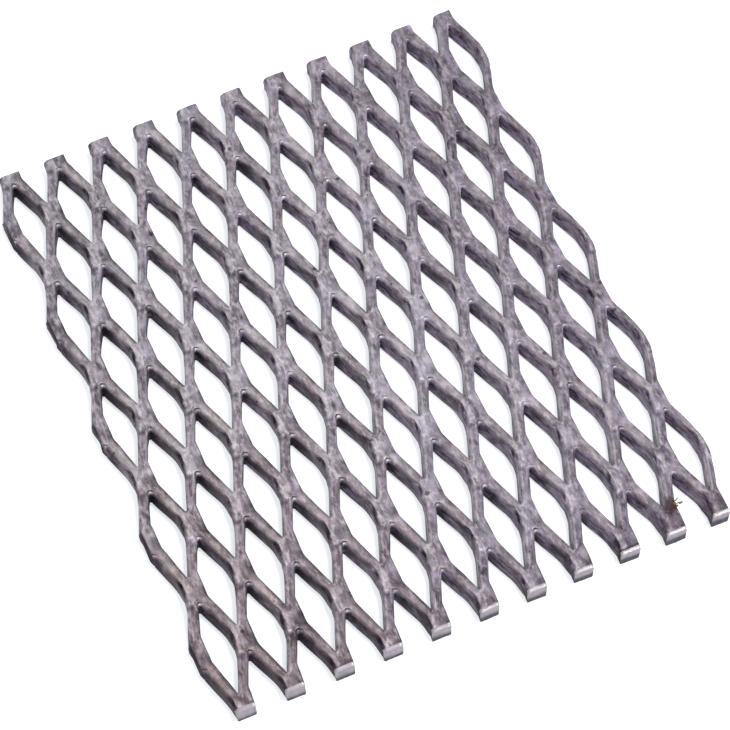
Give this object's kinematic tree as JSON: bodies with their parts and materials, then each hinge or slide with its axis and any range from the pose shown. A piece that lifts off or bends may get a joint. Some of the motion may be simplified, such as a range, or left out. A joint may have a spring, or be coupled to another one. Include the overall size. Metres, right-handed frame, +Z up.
{
  "type": "expanded metal sheet",
  "caption": "Flat sheet of flattened expanded steel mesh: zigzag strands joined at long bonds around diamond openings, cut to length.",
  "frame": {"origin": "middle of the sheet's outline, on its underside", "axes": "+X along the short way of the mesh, away from the torn edge; +Y along the long way; +Z up, out of the top face"},
  "size_m": [0.1394, 0.1626, 0.006],
  "materials": {
    "bare_steel": "bare mild steel, mottled grey, dull"
  },
  "bodies": {
    "root": {"mesh_sheet": "bare_steel"}
  },
  "joints": []
}
